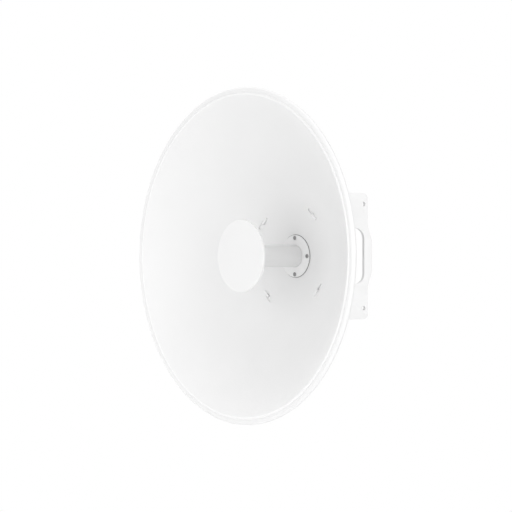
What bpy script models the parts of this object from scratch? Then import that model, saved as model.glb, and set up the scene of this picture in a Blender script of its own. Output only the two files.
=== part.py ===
"""Point-to-point dish antenna: a spun reflector with a rolled rim, a tube feed with a disc
sub-reflector, and a bolted rear bracket with two handle plates, made for a mast.

The origin is the middle of the flat face that goes against the mast. The dish looks along -Y,
+X is on the right seen from the front, and +Z is up. All sizes are in metres.
"""

import math

import bmesh
import bpy
from mathutils import Matrix, Vector

# Reflector
CREST_RADIUS = 0.310
BOWL_DEPTH = 0.160
SHEET = 0.002
BEAD_RADIUS = 0.0028
ROLL_RADIUS = 0.0055
ROLL_CENTRE_RADIUS = 0.3180
ROLL_CENTRE_DEPTH = 0.0052
ROLL_END_ANGLE = -100.0
CREASE_DEPTH = 0.0021
CREASE_START = 22.0
CREASE_END = 136.0
FEED_HOLE_RADIUS = 0.025
FEED_SEAT_RADIUS = 0.046
DISH_STEPS = 72

# Feed, with depths measured behind the plane of the rim's crest
DISC_RADIUS = 0.070
DISC_FRONT = 0.0125
DISC_THICK = 0.005
DISC_ROUND = 0.0015
CONE_TOP_RADIUS = 0.052
CONE_LENGTH = 0.028
CONE_LIP = 0.003
TUBE_RADIUS = 0.0218
FLANGE_RADIUS = 0.0430
FLANGE_EDGE = 0.0020
FLANGE_ROUND = 0.0006
FLANGE_SCREW_CIRCLE = 0.0364
SCREW_HEAD_RADIUS = 0.0042
SCREW_HEAD_HEIGHT = 0.0012
ROUND_STEPS = 40

# Bayonet slots in the reflector, and the tabs that lock into them
SLOT_CIRCLE = 0.105
SLOT_WIDTH = 0.008
SLOT_FIRST = 45.0
SLOT_START = 2.0
SLOT_END = 14.5
TAB_LENGTH = 0.0165
TAB_WIDTH = 0.005
TAB_RISE = 0.003
TAB_EDGE = 0.0006
TAB_NECK_START = 0.001

# Backing plate, pressed to the back of the reflector
BACKING_THICK = 0.003
BACKING_RADIUS = 0.150
BACKING_HOLE = 0.030
BACKING_FLAT_DEPTH = 0.163
BACKING_FLAT_RADIUS = 0.080
BACKING_NEST_RADIUS = 0.095

# Side plates, with depths measured behind the plane of the rim's crest
MAST_FACE = 0.230
SIDE_OUTER_X = 0.065
SIDE_THICK = 0.006
SIDE_HEIGHT = 0.255
SIDE_REAR = 0.2955
SIDE_BULGE = 0.012
BULGE_FULL = 0.032
BULGE_START = 0.062
BULGE_ROUND = 0.008
SIDE_FRONT = 0.169
SIDE_FRONT_EAR = 0.150
FRONT_STRAIGHT = 0.052
FRONT_ROUND = 0.004
EAR_START = 0.100
SIDE_CORNER = 0.010
END_HOLE_DEPTH = 0.2838
END_HOLE_Z = 0.1055
END_HOLE_RADIUS = 0.0046
END_HOLE_STEPS = 18
HANDLE_FRONT = 0.2355
HANDLE_REAR = 0.2855
HANDLE_HALF = 0.056
HANDLE_CORNER = 0.022

# Channels that join the side plates
CHANNEL_HALF_WIDTH = 0.0587
BEND_RADIUS = 0.001
BASE_THICK = 0.003
BASE_HALF_HEIGHT = 0.112
BASE_FLANGE = 0.030
MAST_THICK = 0.004
MAST_HALF_HEIGHT = 0.100
MAST_FLANGE = 0.027
CLAMP_SLOT_X = 0.036
CLAMP_SLOT_Z = 0.062
CLAMP_SLOT_LENGTH = 0.022
CLAMP_SLOT_WIDTH = 0.0092

# Bolts
BOLT_ACROSS_FLATS = 0.013
BOLT_HEAD = 0.0055
WASHER_RADIUS = 0.0085
WASHER_THICK = 0.0016
BASE_BOLT_OFFSET = 0.044
SIDE_BOLT_DEPTHS = (0.186, 0.2135)
SIDE_BOLT_Z = 0.078

# Feed housing and its two radio sockets
HOUSING_WIDTH = 0.064
HOUSING_DEPTH = 0.036
HOUSING_EDGE = 0.005
SPIGOT_RADIUS = 0.0244
COVER_WIDTH = 0.056
COVER_THICK = 0.003
COVER_CORNER = 0.006
SOCKET_X = 0.015
SOCKET_LENGTH = 0.018
SOCKET_RADIUS = 0.0078
SOCKET_BORE = 0.0044
SOCKET_BORE_DEPTH = 0.010
SOCKET_FLANGE_RADIUS = 0.0105
SOCKET_FLANGE_THICK = 0.0025

GAP = 0.0003
MERGE = 0.00001
CUTTER_DEPTH = 0.020


def parabola_factor():
    """1/(4F) of the bowl, so that it meets the bead where both have the same slope."""
    factor = BOWL_DEPTH / CREST_RADIUS ** 2
    for _ in range(20):
        slope = 2 * factor * CREST_RADIUS
        length = math.hypot(1, slope)
        radius = CREST_RADIUS - BEAD_RADIUS * slope / length
        depth = BEAD_RADIUS - BEAD_RADIUS / length
        factor = (BOWL_DEPTH - depth) / radius ** 2
    return factor


BOWL = parabola_factor()


def bowl_height(radius):
    """Height of the bowl's front face, from the crest's plane towards the front."""
    return BOWL * radius ** 2 - BOWL_DEPTH


def bowl_tilt(radius):
    return math.atan(2 * BOWL * radius)


def bowl_offset(radius, distance):
    """Point at a distance behind the bowl's front face, as (radius, height)."""
    tilt = bowl_tilt(radius)
    return (radius + distance * math.sin(tilt), bowl_height(radius) - distance * math.cos(tilt))


def seat_height(radius):
    """Height of the straight cone around the feed hole, on which the flange sits."""
    share = (radius - FEED_HOLE_RADIUS) / (FEED_SEAT_RADIUS - FEED_HOLE_RADIUS)
    low = bowl_height(FEED_HOLE_RADIUS)
    return low + share * (bowl_height(FEED_SEAT_RADIUS) - low)


def arc(centre, radius, start, end, steps):
    """Points along an arc, both ends included, angles in degrees."""
    points = []
    for step in range(steps + 1):
        angle = math.radians(start + (end - start) * step / steps)
        points.append((centre[0] + radius * math.cos(angle), centre[1] + radius * math.sin(angle)))
    return points


def circle(centre, radius, steps):
    """Closed circle of that many points."""
    return arc(centre, radius, 0, 360, steps)[:-1]


def spread(start, end, steps):
    return [start + (end - start) * step / steps for step in range(steps + 1)]


def rounded(corners, steps=5):
    """Closed outline from corners given as (x, y, corner radius), each corner an arc."""
    points = []
    for index, (x, y, radius) in enumerate(corners):
        here = Vector((x, y))
        before = (Vector(corners[index - 1][:2]) - here).normalized()
        after = (Vector(corners[(index + 1) % len(corners)][:2]) - here).normalized()
        if radius == 0:
            points.append((x, y))
            continue
        half = before.angle(after) / 2
        centre = here + (before + after).normalized() * radius / math.sin(half)
        first = here + before * radius / math.tan(half) - centre
        last = here + after * radius / math.tan(half) - centre
        turn = first.angle_signed(last)
        for step in range(steps + 1):
            arm = first.copy()
            arm.rotate(Matrix.Rotation(-turn * step / steps, 2))
            points.append(tuple(centre + arm))
    return points


def box_outline(x0, x1, y0, y1, radius):
    return rounded([(x0, y0, radius), (x1, y0, radius), (x1, y1, radius), (x0, y1, radius)])


def obround(x0, x1, half_width, steps=8):
    """Slot outline along X with half-round ends that reach x0 and x1."""
    right = arc((x1 - half_width, 0), half_width, -90, 90, steps)
    left = arc((x0 + half_width, 0), half_width, 90, 270, steps)
    return right + left


def clear_scene():
    for obj in list(bpy.data.objects):
        bpy.data.objects.remove(obj, do_unlink=True)


def new_collection(name):
    collection = bpy.data.collections.new(name)
    bpy.context.scene.collection.children.link(collection)
    return collection


def new_material(name, colour, roughness, metallic=0.0):
    material = bpy.data.materials.new(name)
    material.use_nodes = True
    shader = material.node_tree.nodes["Principled BSDF"]
    shader.inputs["Base Color"].default_value = (*colour, 1.0)
    shader.inputs["Roughness"].default_value = roughness
    shader.inputs["Metallic"].default_value = metallic
    material.diffuse_color = (*colour, 1.0)
    return material


def add_object(name, mesh, material, collection, parent=None, place=None):
    obj = bpy.data.objects.new(name, mesh)
    if material and not mesh.materials:
        mesh.materials.append(material)
    collection.objects.link(obj)
    obj.parent = parent
    if place is not None:
        obj.matrix_basis = place
    return obj


def turned_object(name, profile, material, collection, parent=None, place=None, steps=ROUND_STEPS):
    """Closed profile of (radius, height) turned about local Z. It runs down its outer side."""
    mesh = bpy.data.meshes.new(name)
    count = len(profile)
    edges = [(index, (index + 1) % count) for index in range(count)]
    if profile[0][0] == 0 and profile[-1][0] == 0:
        edges.pop()
    mesh.from_pydata([(radius, 0, height) for radius, height in profile], edges, [])
    obj = add_object(name, mesh, material, collection, parent, place)
    screw = obj.modifiers.new("turn", "SCREW")
    screw.axis = "Z"
    screw.steps = steps
    screw.render_steps = steps
    screw.use_merge_vertices = True
    screw.merge_threshold = MERGE
    screw.use_smooth_shade = True
    return obj


def flat_mesh(name, loops, thickness):
    """Plate in local XY with holes: the first loop is the outline, the others are cut out."""
    curve = bpy.data.curves.new(name, "CURVE")
    curve.dimensions = "2D"
    curve.fill_mode = "BOTH"
    curve.extrude = thickness / 2
    for loop in loops:
        spline = curve.splines.new("POLY")
        spline.points.add(len(loop) - 1)
        for point, (x, y) in zip(spline.points, loop):
            point.co = (x, y, 0, 1)
        spline.use_cyclic_u = True
    obj = bpy.data.objects.new(name, curve)
    bpy.context.scene.collection.objects.link(obj)
    graph = bpy.context.evaluated_depsgraph_get()
    mesh = bpy.data.meshes.new_from_object(obj.evaluated_get(graph))
    mesh.name = name
    bpy.data.objects.remove(obj, do_unlink=True)
    bpy.data.curves.remove(curve)
    shape = bmesh.new()
    shape.from_mesh(mesh)
    bmesh.ops.remove_doubles(shape, verts=shape.verts, dist=MERGE)
    bmesh.ops.recalc_face_normals(shape, faces=shape.faces)
    shape.to_mesh(mesh)
    shape.free()
    return mesh


def box_mesh(name, size, edge=0.0):
    """Box about the local origin, with its edges rounded off where an edge radius is given."""
    mesh = bpy.data.meshes.new(name)
    shape = bmesh.new()
    bmesh.ops.create_cube(shape, size=1.0, matrix=Matrix.Diagonal((*size, 1.0)))
    if edge:
        bmesh.ops.bevel(
            shape, geom=shape.edges, offset=edge, segments=3, profile=0.5, affect="EDGES"
        )
    shape.to_mesh(mesh)
    shape.free()
    return mesh


def prism_mesh(name, radius, sides, low, high):
    """Upright prism or cylinder about local Z, from one height to the other."""
    mesh = bpy.data.meshes.new(name)
    shape = bmesh.new()
    bmesh.ops.create_cone(
        shape, cap_ends=True, segments=sides, radius1=radius, radius2=radius,
        depth=high - low, matrix=Matrix.Translation((0, 0, (low + high) / 2)),
    )
    shape.to_mesh(mesh)
    shape.free()
    return mesh


def smooth(obj, angle=30.0):
    obj.data.shade_smooth()
    obj.data.set_sharp_from_angle(angle=math.radians(angle))


def boolean(obj, tool, operation):
    modifier = obj.modifiers.new(operation.lower(), "BOOLEAN")
    modifier.operation = operation
    modifier.object = tool
    tool.hide_render = True
    tool.display_type = "WIRE"


def on_bowl(radius, degrees, lift=0.0):
    """Frame on the bowl's front face: X runs outwards, Y along the circle, Z off the face."""
    angle = math.radians(degrees)
    place = Matrix.Rotation(angle, 4, "Z") @ Matrix.Translation((radius, 0, bowl_height(radius)))
    return place @ Matrix.Rotation(-bowl_tilt(radius), 4, "Y") @ Matrix.Translation((0, 0, lift))


def slot_angles():
    return [SLOT_FIRST + 90.0 * quarter for quarter in range(4)]


def rim_profile():
    """Front face from the feed hole to the curl's end, then the back face to the hole."""
    bead_centre = (CREST_RADIUS, -BEAD_RADIUS)
    roll_centre = (ROLL_CENTRE_RADIUS, -ROLL_CENTRE_DEPTH)
    tilt = bowl_tilt(CREST_RADIUS)
    bead_start = CREST_RADIUS - BEAD_RADIUS * math.sin(tilt)
    radii = [FEED_HOLE_RADIUS] + spread(FEED_SEAT_RADIUS, SLOT_CIRCLE, 2)
    radii += spread(SLOT_CIRCLE, bead_start, 6)[1:-1]
    front = [(r, bowl_height(r)) for r in radii]
    front += arc(bead_centre, BEAD_RADIUS, 90 + math.degrees(tilt), CREASE_START, 3)
    front += arc(roll_centre, ROLL_RADIUS, CREASE_END, ROLL_END_ANGLE, 7)
    back = arc(roll_centre, ROLL_RADIUS - SHEET, ROLL_END_ANGLE, 170, 5)
    back.append((CREST_RADIUS + BEAD_RADIUS, -CREASE_DEPTH - SHEET))
    back += [bowl_offset(r, SHEET) for r in spread(bead_start - SHEET, FEED_HOLE_RADIUS, 7)]
    return front + back


def make_reflector(material, collection, cutters, dish):
    reflector = turned_object(
        "reflector", rim_profile(), material, collection, dish, steps=DISH_STEPS
    )
    reach = math.radians(SLOT_END - SLOT_START) * SLOT_CIRCLE
    outline = [(y, x) for x, y in obround(0, reach, SLOT_WIDTH / 2)]
    cutter_mesh = flat_mesh("bayonet_slot_cutter", [outline], SLOT_WIDTH)
    for index, degrees in enumerate(slot_angles()):
        place = on_bowl(SLOT_CIRCLE, degrees + SLOT_START)
        name = f"bayonet_slot_cutter_{index + 1}"
        cutter = add_object(name, cutter_mesh, None, cutters, dish, place)
        boolean(reflector, cutter, "DIFFERENCE")


def make_locking_tabs(material, collection, cutters, dish):
    """Each tab lies on the bowl at one end of its slot, with a neck that goes through the slot."""
    head = box_mesh("locking_tab_head", (TAB_WIDTH, TAB_LENGTH, TAB_RISE), TAB_EDGE)
    neck_length = TAB_LENGTH / 2 - TAB_NECK_START
    neck_top = TAB_RISE / 2
    neck = box_mesh("locking_tab_neck", (TAB_WIDTH, neck_length, SHEET + neck_top))
    neck_middle = (0, TAB_NECK_START + neck_length / 2, (neck_top - SHEET) / 2)
    for index, degrees in enumerate(slot_angles()):
        base = on_bowl(SLOT_CIRCLE, degrees + SLOT_START)
        place = base @ Matrix.Translation((0, 0, TAB_RISE / 2 + GAP))
        tab = add_object(f"locking_tab_{index + 1}", head, material, collection, dish, place)
        tool = add_object(
            f"locking_tab_neck_{index + 1}", neck, None, cutters, dish,
            base @ Matrix.Translation(neck_middle),
        )
        boolean(tab, tool, "UNION")


def make_feed(white, plastic, steel, collection, dish):
    disc_front = -DISC_FRONT
    disc_back = disc_front - DISC_THICK
    profile = [(0, disc_front)]
    profile += arc((DISC_RADIUS - DISC_ROUND, disc_front - DISC_ROUND), DISC_ROUND, 90, 0, 3)
    profile += [(DISC_RADIUS, disc_back), (0, disc_back)]
    turned_object("sub_reflector", profile, plastic, collection, dish, steps=DISH_STEPS)

    cone_top = disc_back - GAP
    cone_end = cone_top - CONE_LENGTH
    profile = [(0, cone_top), (CONE_TOP_RADIUS, cone_top), (CONE_TOP_RADIUS, cone_top - CONE_LIP)]
    profile += [(TUBE_RADIUS, cone_end), (0, cone_end)]
    turned_object("feed_cone", profile, plastic, collection, dish)

    tube_top = cone_end - GAP
    tube_end = seat_height(TUBE_RADIUS) + GAP
    profile = [(0, tube_top), (TUBE_RADIUS, tube_top), (TUBE_RADIUS, tube_end), (0, tube_end)]
    turned_object("feed_tube", profile, white, collection, dish)

    inner = TUBE_RADIUS + GAP
    face = seat_height(FLANGE_RADIUS) + GAP + FLANGE_EDGE
    profile = [(inner, face)]
    profile += arc((FLANGE_RADIUS - FLANGE_ROUND, face - FLANGE_ROUND), FLANGE_ROUND, 90, 0, 2)
    profile += [(r, seat_height(r) + GAP) for r in (FLANGE_RADIUS, inner)]
    turned_object("feed_flange", profile, white, collection, dish)

    shoulder = (SCREW_HEAD_RADIUS * 0.6, SCREW_HEAD_HEIGHT * 0.9)
    rim = SCREW_HEAD_HEIGHT * 0.55
    dome = [(0, SCREW_HEAD_HEIGHT), shoulder, (SCREW_HEAD_RADIUS, rim), (SCREW_HEAD_RADIUS, 0), (0, 0)]
    for name, degrees in (("right", 0), ("top", 90), ("left", 180), ("bottom", 270)):
        place = Matrix.Rotation(math.radians(degrees), 4, "Z")
        place = place @ Matrix.Translation((FLANGE_SCREW_CIRCLE, 0, face + GAP))
        turned_object(
            f"flange_screw_{name}", dome, steel, collection, dish, place, steps=16
        )


def make_backing_plate(material, collection, dish):
    seat = SHEET + GAP
    flat = -BACKING_FLAT_DEPTH
    nest = spread(BACKING_NEST_RADIUS, BACKING_RADIUS, 3)
    bend = BACKING_THICK * math.tan(bowl_tilt(BACKING_NEST_RADIUS) / 2)
    front = [(BACKING_HOLE, flat), (BACKING_FLAT_RADIUS, flat)]
    front += [bowl_offset(r, seat) for r in nest]
    back = [bowl_offset(r, seat + BACKING_THICK) for r in reversed(nest)]
    back += [(BACKING_FLAT_RADIUS + bend, flat - BACKING_THICK)]
    back += [(BACKING_HOLE, flat - BACKING_THICK)]
    turned_object("backing_plate", front + back, material, collection, dish, steps=DISH_STEPS)


def plate_place(x):
    """Local X runs along world Y, local Y along world Z, and the plate's face looks along X."""
    return Matrix.Translation((x, 0, 0)) @ Matrix(((0, 0, 1), (1, 0, 0), (0, 1, 0))).to_4x4()


def across_place(y, x=0.0, z=0.0):
    """Local XY becomes the world's XZ plane, with the plate's face square to Y."""
    return Matrix.Translation((x, y, z)) @ Matrix.Rotation(math.pi / 2, 4, "X")


def behind(depth):
    return depth - MAST_FACE


def side_outline():
    top = SIDE_HEIGHT / 2
    rear = behind(SIDE_REAR)
    bulge = rear + SIDE_BULGE
    front = behind(SIDE_FRONT)
    ear = behind(SIDE_FRONT_EAR)
    return rounded([
        (rear, -top, SIDE_CORNER),
        (rear, -BULGE_START, BULGE_ROUND),
        (bulge, -BULGE_FULL, BULGE_ROUND),
        (bulge, BULGE_FULL, BULGE_ROUND),
        (rear, BULGE_START, BULGE_ROUND),
        (rear, top, SIDE_CORNER),
        (ear, top, SIDE_CORNER),
        (ear, EAR_START, FRONT_ROUND),
        (front, FRONT_STRAIGHT, FRONT_ROUND),
        (front, -FRONT_STRAIGHT, FRONT_ROUND),
        (ear, -EAR_START, FRONT_ROUND),
        (ear, -top, SIDE_CORNER),
    ])


def make_side_plates(material, collection, root):
    handle = box_outline(
        behind(HANDLE_FRONT), behind(HANDLE_REAR), -HANDLE_HALF, HANDLE_HALF, HANDLE_CORNER
    )
    loops = [side_outline(), handle]
    for z in (-END_HOLE_Z, END_HOLE_Z):
        loops.append(circle((behind(END_HOLE_DEPTH), z), END_HOLE_RADIUS, END_HOLE_STEPS))
    mesh = flat_mesh("side_plate", loops, SIDE_THICK)
    for name, side in (("right", 1), ("left", -1)):
        x = side * (SIDE_OUTER_X - SIDE_THICK / 2)
        plate = add_object(f"side_plate_{name}", mesh, material, collection, root, plate_place(x))
        smooth(plate)


def channel_mesh(name, web, inwards, thick, flange, half_height):
    """Plate bent to a U: its web's outer face is at that Y, and both flanges run inwards."""
    wide = CHANNEL_HALF_WIDTH
    inner = web + inwards * thick
    end = web + inwards * flange
    outer_bend = BEND_RADIUS + thick
    outline = rounded([
        (-wide, end, 0), (-wide, web, outer_bend), (wide, web, outer_bend), (wide, end, 0),
        (wide - thick, end, 0), (wide - thick, inner, BEND_RADIUS),
        (thick - wide, inner, BEND_RADIUS), (thick - wide, end, 0),
    ], 3)
    return flat_mesh(name, [outline], 2 * half_height)


def make_bracket_base(material, collection, cutters, root):
    """Channel on the backing plate. It returns the Y of its web's rear face."""
    front = behind(BACKING_FLAT_DEPTH + BACKING_THICK + GAP)
    mesh = channel_mesh("bracket_base", front, 1, BASE_THICK, BASE_FLANGE, BASE_HALF_HEIGHT)
    base = add_object("bracket_base", mesh, material, collection, root)
    hole = flat_mesh("base_hole_cutter", [circle((0, 0), BACKING_HOLE, 36)], CUTTER_DEPTH)
    cutter = add_object("base_hole_cutter", hole, None, cutters, root, across_place(front))
    boolean(base, cutter, "DIFFERENCE")
    return front + BASE_THICK


def make_mast_plate(material, collection, cutters, root):
    mesh = channel_mesh("mast_plate", 0.0, -1, MAST_THICK, MAST_FLANGE, MAST_HALF_HEIGHT)
    plate = add_object("mast_plate", mesh, material, collection, root)
    outline = obround(-CLAMP_SLOT_LENGTH / 2, CLAMP_SLOT_LENGTH / 2, CLAMP_SLOT_WIDTH / 2)
    slot = flat_mesh("clamp_slot_cutter", [outline], CUTTER_DEPTH)
    number = 0
    for x in (-CLAMP_SLOT_X, CLAMP_SLOT_X):
        for z in (-CLAMP_SLOT_Z, CLAMP_SLOT_Z):
            number += 1
            place = across_place(0, x, z)
            cutter = add_object(f"clamp_slot_cutter_{number}", slot, None, cutters, root, place)
            boolean(plate, cutter, "DIFFERENCE")


def hex_bolt_mesh(cutters):
    """Hexagon head on a washer, standing on local Z = 0."""
    corner = BOLT_ACROSS_FLATS / math.sqrt(3)
    washer_mesh = prism_mesh("washer", WASHER_RADIUS, 20, 0, WASHER_THICK)
    head_mesh = prism_mesh("bolt_head", corner, 6, WASHER_THICK / 2, WASHER_THICK + BOLT_HEAD)
    washer = add_object("washer_guide", washer_mesh, None, cutters)
    head = add_object("bolt_head_guide", head_mesh, None, cutters)
    boolean(washer, head, "UNION")
    graph = bpy.context.evaluated_depsgraph_get()
    mesh = bpy.data.meshes.new_from_object(washer.evaluated_get(graph))
    mesh.name = "hex_bolt"
    mesh.materials.clear()
    for obj in (washer, head):
        bpy.data.objects.remove(obj, do_unlink=True)
    return mesh


def make_bolts(material, collection, cutters, root, base_back):
    mesh = hex_bolt_mesh(cutters)
    to_rear = Matrix.Rotation(-math.pi / 2, 4, "X")
    corners = ((1, 1), (-1, 1), (-1, -1), (1, -1))
    for index, (x, z) in enumerate(corners):
        spot = (x * BASE_BOLT_OFFSET, base_back + GAP, z * BASE_BOLT_OFFSET)
        place = Matrix.Translation(spot) @ to_rear
        add_object(f"base_bolt_{index + 1}", mesh, material, collection, root, place)
    spots = [(depth, up) for depth in SIDE_BOLT_DEPTHS for up in (1, -1)]
    for name, side in (("right", 1), ("left", -1)):
        outwards = Matrix.Rotation(side * math.pi / 2, 4, "Y")
        for index, (depth, up) in enumerate(spots):
            spot = (side * (SIDE_OUTER_X + GAP), behind(depth), up * SIDE_BOLT_Z)
            place = Matrix.Translation(spot) @ outwards
            add_object(f"side_bolt_{name}_{index + 1}", mesh, material, collection, root, place)


def make_feed_housing(material, socket_material, collection, cutters, root, base_back):
    front = base_back + GAP
    body = box_mesh("feed_housing", (HOUSING_WIDTH, HOUSING_DEPTH, HOUSING_WIDTH), HOUSING_EDGE)
    place = Matrix.Translation((0, front + HOUSING_DEPTH / 2, 0))
    housing = add_object("feed_housing", body, material, collection, root, place)
    spigot_front = behind(-bowl_height(TUBE_RADIUS)) + GAP
    spigot_length = front - spigot_front + HOUSING_DEPTH / 2
    spigot_mesh = flat_mesh("spigot_guide", [circle((0, 0), SPIGOT_RADIUS, 36)], spigot_length)
    place = across_place(spigot_front + spigot_length / 2)
    spigot = add_object("spigot_guide", spigot_mesh, None, cutters, root, place)
    boolean(housing, spigot, "UNION")

    half = COVER_WIDTH / 2
    outline = box_outline(-half, half, -half, half, COVER_CORNER)
    cover_mesh = flat_mesh("housing_cover", [outline], COVER_THICK)
    place = across_place(front + HOUSING_DEPTH + GAP + COVER_THICK / 2)
    add_object("housing_cover", cover_mesh, material, collection, root, place)

    bottom = SOCKET_LENGTH - SOCKET_BORE_DEPTH
    profile = [(0, bottom), (SOCKET_BORE, bottom), (SOCKET_BORE, SOCKET_LENGTH)]
    profile += [(SOCKET_RADIUS, SOCKET_LENGTH), (SOCKET_RADIUS, SOCKET_FLANGE_THICK)]
    profile += [(SOCKET_FLANGE_RADIUS, SOCKET_FLANGE_THICK), (SOCKET_FLANGE_RADIUS, 0), (0, 0)]
    down = Matrix.Rotation(math.pi, 4, "X")
    for name, side in (("right", 1), ("left", -1)):
        spot = (side * SOCKET_X, front + HOUSING_DEPTH / 2, -HOUSING_WIDTH / 2 - GAP)
        place = Matrix.Translation(spot) @ down
        turned_object(
            f"radio_socket_{name}", profile, socket_material, collection, root, place, steps=24
        )


def main():
    clear_scene()
    parts = new_collection("dish_antenna")
    cutters = new_collection("cutters")
    white_paint = new_material("white_paint", (0.86, 0.86, 0.86), 0.45)
    white_plastic = new_material("white_plastic", (0.88, 0.88, 0.88), 0.4)
    bracket_paint = new_material("bracket_paint", (0.84, 0.84, 0.84), 0.5)
    steel = new_material("stainless_steel", (0.55, 0.55, 0.55), 0.35, 1.0)
    brass = new_material("plated_brass", (0.75, 0.72, 0.62), 0.3, 1.0)

    root = bpy.data.objects.new("mast_face_centre", None)
    parts.objects.link(root)
    dish = bpy.data.objects.new("dish_axis", None)
    parts.objects.link(dish)
    dish.parent = root
    dish.matrix_basis = across_place(-MAST_FACE)

    make_reflector(white_paint, parts, cutters, dish)
    make_feed(white_paint, white_plastic, steel, parts, dish)
    make_backing_plate(bracket_paint, parts, dish)
    make_locking_tabs(bracket_paint, parts, cutters, dish)
    make_side_plates(bracket_paint, parts, root)
    base_back = make_bracket_base(bracket_paint, parts, cutters, root)
    make_mast_plate(bracket_paint, parts, cutters, root)
    make_bolts(steel, parts, cutters, root, base_back)
    make_feed_housing(white_paint, brass, parts, cutters, root, base_back)


main()
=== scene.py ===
"""Looks of a point-to-point dish antenna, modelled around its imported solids.

The origin is the middle of the face that goes against the mast. The dish looks along -Y, +X is
on the right seen from the front, and +Z is up. All sizes are in metres.
"""

import math

import bpy
from bpy.props import FloatProperty, FloatVectorProperty, IntProperty, PointerProperty
from bpy.types import Operator, Panel, PropertyGroup
from mathutils import Matrix, Vector


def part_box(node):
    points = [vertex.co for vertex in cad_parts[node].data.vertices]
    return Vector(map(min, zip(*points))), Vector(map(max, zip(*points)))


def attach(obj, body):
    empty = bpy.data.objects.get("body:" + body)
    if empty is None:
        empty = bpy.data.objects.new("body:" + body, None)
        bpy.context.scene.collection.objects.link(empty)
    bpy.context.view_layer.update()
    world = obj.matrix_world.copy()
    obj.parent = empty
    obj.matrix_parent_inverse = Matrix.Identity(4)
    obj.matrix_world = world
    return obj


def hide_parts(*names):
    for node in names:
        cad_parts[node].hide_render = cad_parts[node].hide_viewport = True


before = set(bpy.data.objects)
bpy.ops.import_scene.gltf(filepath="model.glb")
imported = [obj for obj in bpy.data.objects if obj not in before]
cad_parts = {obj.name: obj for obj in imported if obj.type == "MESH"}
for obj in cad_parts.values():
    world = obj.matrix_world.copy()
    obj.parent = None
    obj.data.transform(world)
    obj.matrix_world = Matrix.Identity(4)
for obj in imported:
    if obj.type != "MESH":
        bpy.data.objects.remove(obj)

bl_info = {
    "name": "Dish Antenna",
    "version": (1, 0, 0),
    "blender": (4, 5, 0),
    "location": "3D View > Sidebar > Dish Antenna",
    "description": "Models the reflector, feed and bracket of a point-to-point dish antenna",
    "category": "Object",
}

# The plane of the rim's crest, and the frame whose Z runs along the dish's axis to the front
CREST_Y = -0.230
QUARTER = math.pi / 2
DISH = Matrix.Translation((0, CREST_Y, 0)) @ Matrix.Rotation(QUARTER, 4, "X")
UPRIGHT = Matrix.Identity(4)

# Clearance between pieces, and the distance within which doubled points are merged
GAP = 0.0003
MERGE = 0.00001

# Cosines: above the first, two directions count as the same; below the second, as crossing
SAME_WAY = 0.99
ACROSS = 0.5

# How far a cutter reaches past a thin plate, and how much of its half width a slot's end rounds
CUT_REACH = 0.01
SLOT_ROUND = 0.98

# Reflector, with angles round the bead and the roll from straight outwards. At the crease the
# back face lies NECK_DEPTH bead radii and the sheet's thickness behind the crest.
CREASE_START = 31.0
CREASE_END = 128.0
ROLL_END = -100.0
ROLL_BACK_START = 170.0
NECK_DEPTH = 1.4
FIT_ROUNDS = 20
BOWL_STEPS = 44
BEAD_STEPS = 14
ROLL_STEPS = 28
ROLL_BACK_STEPS = 18
BOWL_BACK_STEPS = 30
FEED_HOLE_RADIUS = 0.025
FEED_SEAT_RADIUS = 0.046

# Dark ring that shows round the flange's foot: painted shadow of the gap under the flange
SHADOW_RING_LIP = 0.0008
SHADOW_RING_RISE = 0.0005

# Bayonet slots and the tabs that lock into them
SLOT_CIRCLE = 0.105
SLOT_WIDTH = 0.008
SLOT_FIRST = 45.0
SLOT_START = 2.0
SLOT_END = 14.5
TAB_SIZE = (0.005, 0.0165, 0.003)
TAB_NECK_START = 0.001
TAB_TOP_EDGE = 0.0012
TAB_SIDE_EDGE = 0.0011

# Rounded edges of the disc, its support, the tube and the flange
DISC_FRONT_EDGE = 0.0016
DISC_BACK_EDGE = 0.0008
SUPPORT_LIP = 0.003
SUPPORT_FRONT_EDGE = 0.0008
SUPPORT_BACK_EDGE = 0.0012
SUPPORT_SWEEP = -50.0
TUBE_CHAMFER = 0.0004
FLANGE_EDGE = 0.0006

# Backing plate
BACKING_THICK = 0.003
BACKING_FLAT_DEPTH = 0.163
BACKING_FLAT_RADIUS = 0.080
BACKING_NEST_RADIUS = 0.095
BACKING_RADIUS = 0.150
BACKING_HOLE = 0.030
BACKING_EDGE = 0.0006
BACKING_STEPS = 12

# Side plates, with depths measured behind the plane of the rim's crest
SIDE_REAR = 0.2955
BULGE_FULL = 0.032
BULGE_START = 0.062
BULGE_ROUND = 0.008
SIDE_FRONT = 0.169
FRONT_STRAIGHT = 0.052
FRONT_ROUND = 0.004
EAR_START = 0.100
SIDE_CORNER = 0.010
END_HOLE_DEPTH = 0.2838
END_HOLE_Z = 0.1055
END_HOLE_RADIUS = 0.0046
HANDLE_FRONT = 0.2355
HANDLE_REAR = 0.2855
HANDLE_HALF = 0.056
HANDLE_CORNER = 0.022
SIDE_EDGE = 0.0005

# Channels
BEND_RADIUS = 0.001
BASE_THICK = 0.003
MAST_THICK = 0.004
CHANNEL_EDGE = 0.0004
CLAMP_SLOT = (0.036, 0.062)
CLAMP_SLOT_LENGTH = 0.022
CLAMP_SLOT_WIDTH = 0.0092

# Hexagon bolts. Radii are shares of half the width across flats, and the lathe that chamfers
# the head reaches past its corners by a share of their radius.
BOLT_ACROSS_FLATS = 0.013
WASHER_RADIUS = 0.0085
WASHER_THICK = 0.0016
WASHER_EDGE = 0.0003
BOLT_TOP = 0.0071
HEAD_TOP = 0.93
HEAD_CHAMFER = 0.0012
LATHE_REACH = 1.05
DIMPLE_TOP = 0.009
DIMPLE_MOUTH = 0.72
DIMPLE_FLOOR = 0.60
DIMPLE_EDGE_DEPTH = 0.0003
DIMPLE_DEPTH = 0.0004
COLLAR = 0.96
COLLAR_LOW = 0.0008
COLLAR_HIGH = 0.0022
BOLT_TURN = 17.0

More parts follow.
